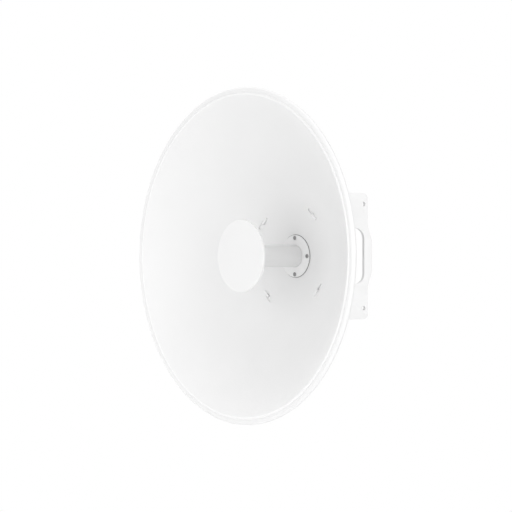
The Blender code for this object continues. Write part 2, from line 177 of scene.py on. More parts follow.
# Socket screws: the head's profile and the key's hole as shares of its radius and height, and
# the sizes as (radius, height, key)
SCREW_HEAD = ((0, 1), (0.62, 0.96), (0.86, 0.78), (1, 0.5), (1, 0), (0, 0))
KEY_FLOOR = 0.35
KEY_TOP = 1.5
FLANGE_SCREW = (0.0042, 0.0012, 0.0032)
COVER_SCREW = (0.0030, 0.0016, 0.0025)
COVER_SCREW_OFFSET = 0.0225

# Feed housing, with the seat that the cover sinks into
SPIGOT_RADIUS = 0.0244
SPIGOT_OVERLAP = 0.002
HOUSING_CORNER = 0.006
HOUSING_EDGE = 0.0009
COVER_SEAT_RIM = 0.0035
COVER_SEAT_DEPTH = 0.0012
COVER_SINK = 0.0008
COVER_EDGE = 0.0007

# Radio sockets, with the thread's flats as shares of its pitch
SOCKET_LENGTH = 0.018
SOCKET_RADIUS = 0.0078
SOCKET_BORE = 0.0044
SOCKET_BORE_DEPTH = 0.010
SOCKET_FLANGE_RADIUS = 0.0105
SOCKET_FLANGE_THICK = 0.0025
SOCKET_COLLAR = 0.0045
SOCKET_NECK = 0.0004
SOCKET_NOSE = 0.0010
SOCKET_EDGE = 0.0003
MOUTH_DEPTH = 0.0005
MOUTH_WIDENING = 0.0004
THREAD_START = 0.0006
THREAD_PITCH = 0.00106
THREAD_DEPTH = 0.0006
THREAD_ROOT = 0.45
THREAD_CREST = 0.1
INSULATOR_HOLE = 0.0011
INSULATOR_THICK = 0.0014
INSULATOR_PLAY = 0.0002
CONTACT_RADIUS = 0.0008
CONTACT_TIP_RADIUS = 0.0004
CONTACT_TIP_LENGTH = 0.0006
CONTACT_TIP_DEPTH = 0.003

# Floor and camera
FLOOR_RADIUS = 1.7
FLOOR_PAINT = (0.86, 0.86, 0.86)
FLOOR_ROUGHNESS = 0.7
SENSOR_WIDTH = 36.0

# Softboxes as (name, degrees round from the dish's axis to the camera's side, edge length)
SOFTBOX_DISTANCE = 3.0
SOFTBOXES = (("front", 0.0, 3.4), ("side", 50.0, 2.6), ("edge", 80.0, 1.6))

# The surround's tone from straight behind the dish (0) to straight in front (1)
SURROUND_BANDS = ((0.0, 0.0), (0.35, 1.0), (0.55, 0.984), (0.75, 0.589), (1.0, 0.158))


def metres(name, description, default, **limits):
    """Length property."""
    return FloatProperty(
        name=name, description=description, default=default,
        subtype="DISTANCE", unit="LENGTH", **limits,
    )


def colour(name, description, *tone):
    """Colour property, from one value for a grey or from three."""
    return FloatVectorProperty(
        name=name, description=description, default=tone if len(tone) == 3 else tone * 3,
        min=0.0, max=1.0, subtype="COLOR",
    )


def bearing(name, description, degrees):
    """Angle property, from a default in degrees."""
    return FloatProperty(
        name=name, description=description, default=math.radians(degrees),
        subtype="ANGLE", unit="ROTATION",
    )


def amount(name, description, default, least=0.0):
    """Plain number with a least value."""
    return FloatProperty(name=name, description=description, default=default, min=least)


class DishSizes(PropertyGroup):
    """Sizes of the reflector that a user would change."""

    crest_radius: metres("Crest radius", "Radius of the rim's foremost line", 0.310, min=0.05)
    bowl_depth: metres(
        "Bowl depth", "From the crest's plane to the middle of the bowl", 0.160, min=0.02
    )
    sheet: metres("Sheet", "Thickness of the spun sheet", 0.002, min=0.0005)
    bead_radius: metres(
        "Bead radius", "Radius of the narrow bead that forms the crest", 0.0028, min=0.0005
    )
    roll_radius: metres(
        "Roll radius", "Radius of the roll that curls back behind the crest", 0.00535, min=0.001
    )
    roll_centre_radius: metres(
        "Roll circle", "Radius of the circle that the roll's middle follows", 0.3180, min=0.05
    )
    roll_centre_depth: metres(
        "Roll depth", "Depth of the roll's middle behind the crest", 0.0052, min=0.0
    )
    steps: IntProperty(
        name="Steps", description="Number of steps round the reflector",
        default=240, min=24, max=720,
    )


class Finishes(PropertyGroup):
    """Colours of the antenna's finishes."""

    dish_paint: colour("Dish paint", "Powder coat of the reflector and the housing", 0.84)
    # Lighter coat of the bead: a painted highlight along the crest
    crest_paint: colour(
        "Crest paint", "Lighter powder coat of the bead that forms the crest", 0.89
    )
    bracket_paint: colour("Bracket paint", "Powder coat of the plates and channels", 0.88)
    # Greyer coat on cut edges: painted shade of the walls of slots, holes and openings
    edge_paint: colour("Edge paint", "Thinner, greyer powder coat on cut edges", 0.78)
    # Lighter than the dish's coat: painted light that lifts the shade beside the feed tube
    flange_paint: colour("Flange paint", "Powder coat of the feed tube's flange", 0.87)
    tube_paint: colour("Tube paint", "Slightly greyer powder coat of the feed tube", 0.78)
    # Dark ring under the flange: painted shadow of the gap between the flange and the bowl
    gasket: colour("Gasket", "Dark rubber of the ring under the flange", 0.09)
    plastic: colour("Plastic", "Moulded plastic of the disc and its cone", 0.847)
    steel: colour("Steel", "Stainless steel of the bolts and washers", 0.55)
    screw: colour("Screw steel", "Darker steel of the flange's screws", 0.40)
    brass: colour("Plated brass", "Nickel-plated brass of the radio sockets", 0.75, 0.72, 0.62)


class StudioSettings(PropertyGroup):
    """Camera and light."""

    azimuth: bearing(
        "Azimuth", "How far the camera stands to the right of the dish's axis", 50.85
    )
    elevation: bearing("Elevation", "How far the camera stands above the dish's axis", -0.17)
    distance: metres("Distance", "From the middle of the rim to the camera", 2.399, min=0.5)
    focal_length: amount("Focal length", "Lens, in millimetres on a 36 mm frame", 87.89, 10.0)
    aside: metres("Aim aside", "How far right of the rim's middle the camera aims", 0.0406)
    background: amount("Background", "Brightness of the white that the camera sees", 1.0)
    surround: amount("Surround", "Brightness of the surround's brightest band as a light", 1.44)
    front_light: amount("Front light", "Power of the soft light in front, in watts", 42.8)
    side_light: amount("Side light", "Power of the soft light at the side, in watts", 11.1)
    edge_light: amount("Edge light", "Power of the light level with the rim, in watts", 4.6)
    floor_drop: metres(
        "Floor drop", "How far the floor lies below the dish's axis", 1.0, min=0.4
    )


def bowl_factor(dish):
    """1/(4F) of the bowl, so that it meets the bead where both have the same slope."""
    factor = dish.bowl_depth / dish.crest_radius ** 2
    for _ in range(FIT_ROUNDS):
        slope = 2 * factor * dish.crest_radius
        slant = math.hypot(1, slope)
        radius = dish.crest_radius - dish.bead_radius * slope / slant
        depth = dish.bead_radius - dish.bead_radius / slant
        factor = (dish.bowl_depth - depth) / radius ** 2
    return factor


def bowl_height(dish, radius):
    """Height of the bowl's front face, from the crest's plane towards the front."""
    return bowl_factor(dish) * radius ** 2 - dish.bowl_depth


def bowl_tilt(dish, radius):
    """Slope of the bowl's front face, in radians."""
    return math.atan(2 * bowl_factor(dish) * radius)


def bowl_offset(dish, radius, distance):
    """Point at a distance behind the bowl's front face, as (radius, height)."""
    tilt = bowl_tilt(dish, radius)
    height = bowl_height(dish, radius) - distance * math.cos(tilt)
    return (radius + distance * math.sin(tilt), height)


def seat_height(dish, radius):
    """Height of the straight cone around the feed hole, on which the flange sits."""
    share = (radius - FEED_HOLE_RADIUS) / (FEED_SEAT_RADIUS - FEED_HOLE_RADIUS)
    low = bowl_height(dish, FEED_HOLE_RADIUS)
    return low + share * (bowl_height(dish, FEED_SEAT_RADIUS) - low)


def on_bowl(dish, radius, degrees):
    """Frame on the bowl's front face: X runs outwards, Y along the circle, Z off the face."""
    place = Matrix.Rotation(math.radians(degrees), 4, "Z")
    place = place @ Matrix.Translation((radius, 0, bowl_height(dish, radius)))
    return DISH @ place @ Matrix.Rotation(-bowl_tilt(dish, radius), 4, "Y")


def standing(spot, turn, axis):
    """Frame at a point, turned about one of the world's axes."""
    return Matrix.Translation(spot) @ Matrix.Rotation(turn, 4, axis)


def off_axis(face):
    """Distance of a face's middle from the dish's axis."""
    return math.hypot(face.center.x, face.center.z)


def slot_angles():
    """Directions of the four slots, in degrees."""
    return [SLOT_FIRST + 90.0 * quarter for quarter in range(4)]


def arc(centre, radius, start, end, steps):
    """Points along an arc, both ends included, angles in degrees."""
    points = []
    for step in range(steps + 1):
        angle = math.radians(start + (end - start) * step / steps)
        points.append((centre[0] + radius * math.cos(angle), centre[1] + radius * math.sin(angle)))
    return points


def front_edge(radius, height, size, steps):
    """Rounded edge of a turned piece, from its front face to its side."""
    return arc((radius - size, height - size), size, 90, 0, steps)


def back_edge(radius, height, size, steps, end=-90):
    """Rounded edge of a turned piece, from its side towards its back face."""
    return arc((radius - size, height + size), size, 0, end, steps)


def corners_at(x, z):
    """The four points this far to each side of the middle."""
    return [(-x, -z), (-x, z), (x, -z), (x, z)]


def spread(start, end, steps):
    """Even steps from start to end, both included."""
    return [start + (end - start) * step / steps for step in range(steps + 1)]


def rounded(corners, steps=8):
    """Closed outline from corners given as (x, y, corner radius), each corner an arc."""
    points = []
    for index, (x, y, radius) in enumerate(corners):
        here = Vector((x, y))
        before = (Vector(corners[index - 1][:2]) - here).normalized()
        after = (Vector(corners[(index + 1) % len(corners)][:2]) - here).normalized()
        if radius == 0:
            points.append((x, y))
            continue
        half = before.angle(after) / 2
        centre = here + (before + after).normalized() * radius / math.sin(half)
        first = here + before * radius / math.tan(half) - centre
        last = here + after * radius / math.tan(half) - centre
        turn = first.angle_signed(last)
        for step in range(steps + 1):
            arm = first.copy()
            arm.rotate(Matrix.Rotation(-turn * step / steps, 2))
            points.append(tuple(centre + arm))
    return points


def deselect_all():
    if bpy.context.mode != "OBJECT":
        bpy.ops.object.mode_set(mode="OBJECT")
    bpy.ops.object.select_all(action="DESELECT")


def make_active(obj):
    deselect_all()
    obj.select_set(True)
    bpy.context.view_layer.objects.active = obj


def named(name):
    """Names the new object and its mesh."""
    obj = bpy.context.object
    obj.name = name
    obj.data.name = name
    return obj


def pick(obj, part, test):
    """Goes to edit mode with only those vertices, edges or faces selected that pass the test."""
    make_active(obj)
    mesh = obj.data
    for items in (mesh.vertices, mesh.edges, mesh.polygons):
        items.foreach_set("select", [False] * len(items))
    flags = (part == "vertices", part == "edges", part == "polygons")
    bpy.context.tool_settings.mesh_select_mode = flags
    for item in getattr(mesh, part):
        item.select = test(item)
    bpy.ops.object.mode_set(mode="EDIT")


def bevel(obj, part, test, size, segments):
    """Rounds the edges, or the borders of the faces, that pass the test."""
    pick(obj, part, test)
    bpy.ops.mesh.bevel(offset=size, offset_type="OFFSET", segments=segments, affect="EDGES")
    bpy.ops.object.mode_set(mode="OBJECT")


def edge_along(obj, axis):
    """Test for the edges that run along an axis, 0 to 2."""
    points = obj.data.vertices

    def test(edge):
        run = points[edge.vertices[1]].co - points[edge.vertices[0]].co
        return run.length > 0 and abs(run[axis]) > SAME_WAY * run.length
    return test


def faces_along(direction):
    """Test for the faces whose normal looks that way."""
    wanted = Vector(direction)
    return lambda face: face.normal.dot(wanted) > SAME_WAY


def clean(obj):
    """Merges doubled points and turns every face outwards."""
    make_active(obj)
    bpy.ops.object.mode_set(mode="EDIT")
    bpy.ops.mesh.select_all(action="SELECT")
    bpy.ops.mesh.remove_doubles(threshold=MERGE)
    bpy.ops.mesh.normals_make_consistent(inside=False)
    bpy.ops.object.mode_set(mode="OBJECT")


def put(obj, place):
    """Moves the object by a matrix and bakes the place into its mesh."""
    make_active(obj)
    obj.matrix_world = place @ obj.matrix_world
    bpy.ops.object.transform_apply()
    return obj


def trace(name, points):
    """Draws a line of edges: a small plane merged to one point, extruded from point to point."""
    deselect_all()
    bpy.ops.mesh.primitive_plane_add(size=0.01)
    obj = named(name)
    bpy.context.tool_settings.mesh_select_mode = (True, False, False)
    bpy.ops.object.mode_set(mode="EDIT")
    bpy.ops.mesh.select_all(action="SELECT")
    bpy.ops.mesh.merge(type="CENTER")
    bpy.ops.transform.translate(value=points[0])
    for before, after in zip(points, points[1:]):
        step = Vector(after) - Vector(before)
        bpy.ops.mesh.extrude_vertices_move(TRANSFORM_OT_translate={"value": step})
    return obj


def turned(name, profile, place=DISH, steps=96):
    """Spins a closed profile of (radius, height) about local Z, then puts it in place."""
    line = [(radius, 0, height) for radius, height in profile]
    if profile[0][0] > 0 or profile[-1][0] > 0:
        line.append(line[0])
    obj = trace(name, line)
    bpy.ops.mesh.select_all(action="SELECT")
    bpy.ops.mesh.spin(steps=steps, angle=2 * math.pi, center=(0, 0, 0), axis=(0, 0, 1))
    clean(obj)
    return put(obj, place)


def plate(name, outline, thick, place):
    """Fills a closed outline in local XY and extrudes it both ways along local Z."""
    obj = trace(name, [(x, y, -thick / 2) for x, y in outline])
    bpy.ops.mesh.select_all(action="SELECT")
    bpy.ops.mesh.edge_face_add()
    bpy.ops.mesh.extrude_region_move(TRANSFORM_OT_translate={"value": (0, 0, thick)})
    clean(obj)
    return put(obj, place)


def block(name, low, high, corner=0.0, axis=2, segments=8):
    """Box between two points, with its edges along one axis rounded off."""
    low, high = Vector(low), Vector(high)
    deselect_all()
    bpy.ops.mesh.primitive_cube_add(size=1, location=(low + high) / 2, scale=high - low)
    bpy.ops.object.transform_apply()
    obj = named(name)
    if corner:
        bevel(obj, "edges", edge_along(obj, axis), corner, segments)
    return obj


def cylinder(name, radius, low, high, place, sides=64):
    deselect_all()
    bpy.ops.mesh.primitive_cylinder_add(
        vertices=sides, radius=radius, depth=high - low, location=(0, 0, (low + high) / 2),
    )
    return put(named(name), place)


def use_modifier(obj, kind, **settings):
    """Adds a modifier with these settings and applies it."""
    make_active(obj)
    modifier = obj.modifiers.new(kind.lower(), kind)
    for key, value in settings.items():
        setattr(modifier, key, value)
    bpy.ops.object.modifier_apply(modifier=modifier.name)


def combine(obj, tools, operation="DIFFERENCE"):
    """Cuts the tools out of the object, or joins or crosses them with it, and removes them."""
    for tool in tools:
        use_modifier(obj, "BOOLEAN", operation=operation, object=tool, solver="EXACT")
        bpy.data.objects.remove(tool, do_unlink=True)
    return obj


def ease_edges(obj, width, segments=2, sharpest=60.0):
    """Takes the sharp edges off, as a deburred and coated edge has them."""
    use_modifier(
        obj, "BEVEL", width=width, segments=segments, limit_method="ANGLE",
        angle_limit=math.radians(sharpest), use_clamp_overlap=True, harden_normals=False,
    )


def copied(obj, name, place):
    """A copy with a mesh of its own, moved by a matrix."""
    copy = obj.copy()
    copy.data = obj.data.copy()
    copy.name = name
    copy.data.name = name
    copy.data.transform(place)
    bpy.context.scene.collection.objects.link(copy)
    return copy


def dress(obj, finish, nodes=(), smoothest=35.0):
    """Shades the piece, gives it its finish, hangs it on the root body and hides the imported
    parts that it stands for.
    """
    make_active(obj)
    bpy.ops.object.shade_smooth_by_angle(angle=math.radians(smoothest))
    obj.data.materials.clear()
    obj.data.materials.append(material_for(finish))
    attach(obj, "root")
    if nodes:
        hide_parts(*nodes)


def coat_faces(obj, finish, test):
    """Gives the faces that pass the test a finish of their own."""
    obj.data.materials.append(material_for(finish))
    obj.active_material_index = len(obj.data.materials) - 1
    pick(obj, "polygons", test)
    bpy.ops.object.material_slot_assign()
    bpy.ops.object.mode_set(mode="OBJECT")


def start_material(name):
    """New material, its node tree, its shader and its object coordinates."""
    material = bpy.data.materials.new(name)
    material.use_nodes = True
    tree = material.node_tree
    shader = tree.nodes["Principled BSDF"]
    place = tree.nodes.new("ShaderNodeTexCoord").outputs["Object"]
    return material, tree, shader, place


def noise(tree, place, scale, detail=2.0, stretch=None):
    """Noise with features about 1/scale metres wide, stretched where three factors are given."""
    if stretch:
        mapping = tree.nodes.new("ShaderNodeMapping")
        mapping.inputs["Scale"].default_value = stretch
        tree.links.new(place, mapping.inputs["Vector"])
        place = mapping.outputs["Vector"]
    node = tree.nodes.new("ShaderNodeTexNoise")
    node.inputs["Scale"].default_value = scale
    node.inputs["Detail"].default_value = detail
    tree.links.new(place, node.inputs["Vector"])
    return node.outputs["Fac"]


def ranged(tree, source, low, high, start=0.3, end=0.7):
    """The source's values from start to end, spread from low to high."""
    node = tree.nodes.new("ShaderNodeMapRange")
    limits = {"From Min": start, "From Max": end, "To Min": low, "To Max": high}
    for name, value in limits.items():
        node.inputs[name].default_value = value
    tree.links.new(source, node.inputs["Value"])
    return node.outputs["Result"]


def vary(tree, source, low, high, shader):
    """Lets the roughness drift with the source between two values."""
    tree.links.new(ranged(tree, source, low, high), shader.inputs["Roughness"])


def tint(tree, place, shader, tone, darker, scale, detail=2.0):
    """Lets the colour drift between the tone and a darker one."""
    drift = ranged(tree, noise(tree, place, scale, detail), 0.0, 1.0)
    node = tree.nodes.new("ShaderNodeMix")
    node.data_type = "RGBA"
    node.inputs["A"].default_value = (*[value * darker for value in tone], 1)
    node.inputs["B"].default_value = (*tone, 1)
    tree.links.new(drift, node.inputs["Factor"])
    tree.links.new(node.outputs["Result"], shader.inputs["Base Color"])


def bump(tree, source, strength, distance, below=None):
    """Normal that follows the source as a height."""
    node = tree.nodes.new("ShaderNodeBump")
    node.inputs["Strength"].default_value = strength
    node.inputs["Distance"].default_value = distance
    tree.links.new(source, node.inputs["Height"])
    if below:
        tree.links.new(below, node.inputs["Normal"])
    return node.outputs["Normal"]


def powder_coat(name, tone, peel, roughness):
    """Powder coat: the slight orange peel of the melted powder, and a drift in tone and gloss."""
    material, tree, shader, place = start_material(name)
    tint(tree, place, shader, tone, darker=0.985, scale=9.0, detail=3.0)
    gloss = noise(tree, place, scale=70.0, detail=3.0)
    vary(tree, gloss, roughness - 0.04, roughness + 0.04, shader)
    coarse = noise(tree, place, scale=peel, detail=1.0)
    fine = noise(tree, place, scale=peel * 5, detail=2.0)
    waves = bump(tree, coarse, strength=0.22, distance=0.0002)
    grain = bump(tree, fine, strength=0.10, distance=0.00005, below=waves)
    tree.links.new(grain, shader.inputs["Normal"])
    return material


def moulded_plastic(name, tone):
    """Moulded plastic with the fine even spark-eroded texture of its mould."""
    material, tree, shader, place = start_material(name)
    tint(tree, place, shader, tone, darker=0.992, scale=14.0)
    vary(tree, noise(tree, place, scale=1800.0), 0.36, 0.44, shader)
    texture = noise(tree, place, scale=2600.0, detail=3.0)
    grain = bump(tree, texture, strength=0.15, distance=0.00006)
    tree.links.new(grain, shader.inputs["Normal"])
    return material


def machined_metal(name, tone, roughness, stretch):
    """Turned or drawn metal: fine tool marks along one way, and a cloudy drift in tone."""
    material, tree, shader, place = start_material(name)
    shader.inputs["Metallic"].default_value = 1.0
    tint(tree, place, shader, tone, darker=0.86, scale=160.0, detail=4.0)
    marks = noise(tree, place, scale=900.0, detail=3.0, stretch=stretch)
    vary(tree, marks, roughness - 0.08, roughness + 0.10, shader)
    scratches = bump(tree, marks, strength=0.25, distance=0.00004)
    tree.links.new(scratches, shader.inputs["Normal"])
    return material


# Finishes as name: (maker, property that holds the colour, the maker's other settings)
FINISHES = {
    "dish_powder_coat": (powder_coat, "dish_paint", 420.0, 0.42),
    "crest_powder_coat": (powder_coat, "crest_paint", 420.0, 0.42),
    "bracket_powder_coat": (powder_coat, "bracket_paint", 650.0, 0.5),
    "edge_powder_coat": (powder_coat, "edge_paint", 650.0, 0.5),
    "flange_powder_coat": (powder_coat, "flange_paint", 420.0, 0.42),
    "tube_powder_coat": (powder_coat, "tube_paint", 420.0, 0.45),
    "gasket_rubber": (moulded_plastic, "gasket"),
    "moulded_plastic": (moulded_plastic, "plastic"),
    "bolt_steel": (machined_metal, "steel", 0.34, (1, 1, 6)),
    "screw_steel": (machined_metal, "screw", 0.42, (1, 6, 1)),
    "plated_brass": (machined_metal, "brass", 0.26, (1, 1, 8)),
}


def material_for(finish):
    """The finish's material, made when it is first asked for."""
    found = bpy.data.materials.get(finish)
    if found:
        return found
    make, key, *settings = FINISHES[finish]
    return make(finish, getattr(bpy.context.scene.antenna_finishes, key), *settings)


def bead_start(dish):
    """Radius at which the bowl passes into the bead."""
    return dish.crest_radius - dish.bead_radius * math.sin(bowl_tilt(dish, dish.crest_radius))


def rim_profile(dish):
    """Front face from the feed hole to the curl's end, then the back face to the hole."""
    bead_centre = (dish.crest_radius, -dish.bead_radius)
    roll_centre = (dish.roll_centre_radius, -dish.roll_centre_depth)
    lean = 90 + math.degrees(bowl_tilt(dish, dish.crest_radius))
    radii = [FEED_HOLE_RADIUS, *spread(FEED_SEAT_RADIUS, bead_start(dish), BOWL_STEPS)[:-1]]
    front = [(radius, bowl_height(dish, radius)) for radius in radii]
    front += arc(bead_centre, dish.bead_radius, lean, CREASE_START, BEAD_STEPS)
    front += arc(roll_centre, dish.roll_radius, CREASE_END, ROLL_END, ROLL_STEPS)
    inner = dish.roll_radius - dish.sheet
    back = arc(roll_centre, inner, ROLL_END, ROLL_BACK_START, ROLL_BACK_STEPS)
    neck = dish.crest_radius + dish.bead_radius
    back.append((neck, -dish.bead_radius * NECK_DEPTH - dish.sheet))
    radii = spread(bead_start(dish) - dish.sheet, FEED_HOLE_RADIUS, BOWL_BACK_STEPS)
    back += [bowl_offset(dish, radius, dish.sheet) for radius in radii]
    return front + back


def on_highlight_bead(dish):
    """Test for the faces of the bead that forms the crest, which get the painted highlight."""
    inner = bead_start(dish)
    outer = dish.crest_radius + dish.bead_radius
    rear = CREST_Y + dish.bead_radius / 2
    return lambda face: inner < off_axis(face) < outer and face.center.y < rear


def on_shaded_slot_wall(face):
    """Whether the face is a wall of a bayonet slot, across the bowl's sheet; these walls get the
    painted shade.
    """
    return abs(off_axis(face) - SLOT_CIRCLE) < SLOT_WIDTH and abs(face.normal.y) < ACROSS


class ANTENNA_OT_reflector(Operator):
    """Spin the reflector with its rolled rim and cut its four bayonet slots"""

    bl_idname = "antenna.reflector"
    bl_label = "Reflector"

    def execute(self, context):
        dish = context.scene.antenna_dish
        bowl = turned("spun_reflector", rim_profile(dish), steps=dish.steps)
        reach = math.radians(SLOT_END - SLOT_START) * SLOT_CIRCLE
        half = SLOT_WIDTH / 2
        cutters = []
        for degrees in slot_angles():
            cutter = block(
                "slot_cutter", (-half, 0, -half), (half, reach, half),
                corner=half * SLOT_ROUND, segments=10,
            )
            cutters.append(put(cutter, on_bowl(dish, SLOT_CIRCLE, degrees + SLOT_START)))
        combine(bowl, cutters)
        dress(bowl, "dish_powder_coat", ["reflector"])
        # The bead gets a lighter coat: a painted highlight along the crest
        coat_faces(bowl, "crest_powder_coat", on_highlight_bead(dish))
        # The slot walls get a greyer coat: painted shade inside the slots
        coat_faces(bowl, "edge_powder_coat", on_shaded_slot_wall)
        return {"FINISHED"}


class ANTENNA_OT_locking_tabs(Operator):
    """Model the four tabs of the backing plate that lock into the bayonet slots"""

    bl_idname = "antenna.locking_tabs"
    bl_label = "Locking tabs"

    def execute(self, context):
        dish = context.scene.antenna_dish
        wide, long, rise = (size / 2 for size in TAB_SIZE)
        tab = block("tab", (-wide, -long, GAP), (wide, long, GAP + 2 * rise))
        bevel(tab, "polygons", faces_along((0, 0, 1)), TAB_TOP_EDGE, 4)
        bevel(tab, "edges", edge_along(tab, 2), TAB_SIDE_EDGE, 4)
        neck = block("neck", (-wide, TAB_NECK_START, -dish.sheet), (wide, long, rise))
        combine(tab, [neck], "UNION")
        for number, degrees in enumerate(slot_angles(), start=1):
            place = on_bowl(dish, SLOT_CIRCLE, degrees + SLOT_START)
            piece = copied(tab, f"tab_{number}", place)
            dress(piece, "bracket_powder_coat", [f"locking_tab_{number}"])
        bpy.data.objects.remove(tab, do_unlink=True)
        return {"FINISHED"}


def turned_size(low, high):
    """Radius, front height and back height of a turned solid's box, in the dish's frame."""
    return high.x, CREST_Y - low.y, CREST_Y - high.y


class ANTENNA_OT_feed(Operator):
    """Turn the disc sub-reflector, its cone, the feed tube and the flange"""

    bl_idname = "antenna.feed"
    bl_label = "Feed"

    def execute(self, context):
        dish = context.scene.antenna_dish
        tube_radius, tube_front, tube_back = turned_size(*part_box("feed_tube"))

        radius, front, back = turned_size(*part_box("sub_reflector"))
        profile = [(0, front), *front_edge(radius, front, DISC_FRONT_EDGE, 8)]
        profile += [*back_edge(radius, back, DISC_BACK_EDGE, 4), (0, back)]
        disc = turned("disc", profile, steps=160)
        dress(disc, "moulded_plastic", ["sub_reflector"])

        radius, front, back = turned_size(*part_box("feed_cone"))
        profile = [(0, front), *front_edge(radius, front, SUPPORT_FRONT_EDGE, 4)]
        profile += back_edge(radius, front - SUPPORT_LIP, SUPPORT_BACK_EDGE, 4, SUPPORT_SWEEP)
        profile += [(tube_radius, back), (0, back)]
        cone = turned("disc_support", profile, steps=120)
        dress(cone, "moulded_plastic", ["feed_cone"])

        profile = [(0, tube_front), (tube_radius - TUBE_CHAMFER, tube_front)]
        profile += [(tube_radius, tube_front - TUBE_CHAMFER)]
        profile += [(tube_radius, tube_back), (0, tube_back)]
        tube = turned("wave_tube", profile)
        dress(tube, "tube_powder_coat", ["feed_tube"])

        outer, front, _ = turned_size(*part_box("feed_flange"))
        radius = outer - SHADOW_RING_LIP
        inner = tube_radius + GAP
        seat = seat_height(dish, outer) + GAP
        rise = seat + SHADOW_RING_RISE
        profile = [(inner, front), *front_edge(radius, front, FLANGE_EDGE, 6)]
        profile += [(radius, rise), (outer, rise), (outer, seat)]
        profile += [(inner, seat_height(dish, inner) + GAP)]
        flange = turned("tube_flange", profile, steps=120)
        # The flange's lighter coat is painted light against the shade of the feed tube
        dress(flange, "flange_powder_coat", ["feed_flange"])
        # Only the dark ring's own faces have their middle this far out; they carry the painted
        # shadow under the flange
        start = radius + SHADOW_RING_LIP / 4
        coat_faces(flange, "gasket_rubber", lambda face: off_axis(face) > start)
        return {"FINISHED"}


def socket_screw(size, steps=48):
    """Low domed screw head with a hexagon socket, standing on local Z = 0."""
    radius, height, key = size
    profile = [(radius * across, height * up) for across, up in SCREW_HEAD]
    head = turned("screw", profile, UPRIGHT, steps)
    corner = key / math.sqrt(3)
    hexagon = cylinder("key", corner, height * KEY_FLOOR, height * KEY_TOP, UPRIGHT, sides=6)
    combine(head, [hexagon])
    clean(head)
    return head


class ANTENNA_OT_flange_screws(Operator):
    """Model the four socket screws that hold the flange to the bowl"""

    bl_idname = "antenna.flange_screws"
    bl_label = "Flange screws"

    def execute(self, context):
        screw = socket_screw(FLANGE_SCREW)
        for name in ("right", "top", "left", "bottom"):
            low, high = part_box(f"flange_screw_{name}")
            middle = (low + high) / 2
            place = standing((middle.x, high.y, middle.z), QUARTER, "X")
            piece = copied(screw, f"socket_screw_{name}", place)
            dress(piece, "screw_steel", [f"flange_screw_{name}"])
        bpy.data.objects.remove(screw, do_unlink=True)
        return {"FINISHED"}


class ANTENNA_OT_backing_plate(Operator):
    """Spin the dished backing plate behind the bowl"""

    bl_idname = "antenna.backing_plate"
    bl_label = "Backing plate"

    def execute(self, context):
        dish = context.scene.antenna_dish
        seat = dish.sheet + GAP
        flat = -BACKING_FLAT_DEPTH
        nest = spread(BACKING_NEST_RADIUS, BACKING_RADIUS, BACKING_STEPS)
        bend = BACKING_THICK * math.tan(bowl_tilt(dish, BACKING_NEST_RADIUS) / 2)
        front = [(BACKING_HOLE, flat), (BACKING_FLAT_RADIUS, flat)]
        front += [bowl_offset(dish, radius, seat) for radius in nest]
        back = [bowl_offset(dish, radius, seat + BACKING_THICK) for radius in reversed(nest)]
        back += [(BACKING_FLAT_RADIUS + bend, flat - BACKING_THICK)]
        back += [(BACKING_HOLE, flat - BACKING_THICK)]
        backing = turned("dished_plate", front + back, steps=dish.steps)
        ease_edges(backing, BACKING_EDGE)
        dress(backing, "bracket_powder_coat", ["backing_plate"])
        return {"FINISHED"}


def side_place(x):
    """Local X runs along world Y, local Y along world Z, and the plate's face looks along X."""
    return Matrix.Translation((x, 0, 0)) @ Matrix(((0, 0, 1), (1, 0, 0), (0, 1, 0))).to_4x4()


def behind(depth):
    """World Y of a depth behind the crest's plane."""
    return CREST_Y + depth


def side_outline(low, high):
    """Outline of a side plate as (Y, Z, corner radius), from its box and its named depths."""
    rear, front = behind(SIDE_REAR), behind(SIDE_FRONT)
    ear, bulge, top = low.y, high.y, high.z
    return rounded([
        (rear, -top, SIDE_CORNER),
        (rear, -BULGE_START, BULGE_ROUND),
        (bulge, -BULGE_FULL, BULGE_ROUND),
        (bulge, BULGE_FULL, BULGE_ROUND),
        (rear, BULGE_START, BULGE_ROUND),
        (rear, top, SIDE_CORNER),
        (ear, top, SIDE_CORNER),
        (ear, EAR_START, FRONT_ROUND),
        (front, FRONT_STRAIGHT, FRONT_ROUND),
        (front, -FRONT_STRAIGHT, FRONT_ROUND),
        (ear, -EAR_START, FRONT_ROUND),
        (ear, -top, SIDE_CORNER),
    ])


class ANTENNA_OT_side_plates(Operator):
    """Cut the two side plates with their handle openings and end holes"""

    bl_idname = "antenna.side_plates"
    bl_label = "Side plates"

    def execute(self, context):
        for name in ("right", "left"):
            low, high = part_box(f"side_plate_{name}")
            thick = high.x - low.x
            middle = (low.x + high.x) / 2
            outline = side_outline(low, high)
            side = plate(f"handle_plate_{name}", outline, thick, side_place(middle))
            cutters = [block(
                "handle_cutter", (low.x - thick, behind(HANDLE_FRONT), -HANDLE_HALF),
                (high.x + thick, behind(HANDLE_REAR), HANDLE_HALF),
                corner=HANDLE_CORNER, axis=0, segments=16,
            )]
            for z in (-END_HOLE_Z, END_HOLE_Z):
                place = standing((middle, behind(END_HOLE_DEPTH), z), QUARTER, "Y")
                cutters.append(cylinder("hole_cutter", END_HOLE_RADIUS, -thick, thick, place, 48))
            combine(side, cutters)
            ease_edges(side, SIDE_EDGE, segments=3)
            dress(side, "bracket_powder_coat", [f"side_plate_{name}"])
            # The cut edges and the walls of the opening and holes get a greyer coat: painted shade
            coat_faces(side, "edge_powder_coat", lambda face: abs(face.normal.x) < ACROSS)
        return {"FINISHED"}


def channel(name, node, web, inner, end, thick):
    """Plate bent to a U, its web across the bracket and both flanges along the side plates."""
    low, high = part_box(node)
    wide = high.x
    outer_bend = BEND_RADIUS + thick
    outline = rounded([
        (-wide, end, 0), (-wide, web, outer_bend), (wide, web, outer_bend), (wide, end, 0),
        (wide - thick, end, 0), (wide - thick, inner, BEND_RADIUS),
        (thick - wide, inner, BEND_RADIUS), (thick - wide, end, 0),
    ])
    return plate(name, outline, high.z - low.z, UPRIGHT)


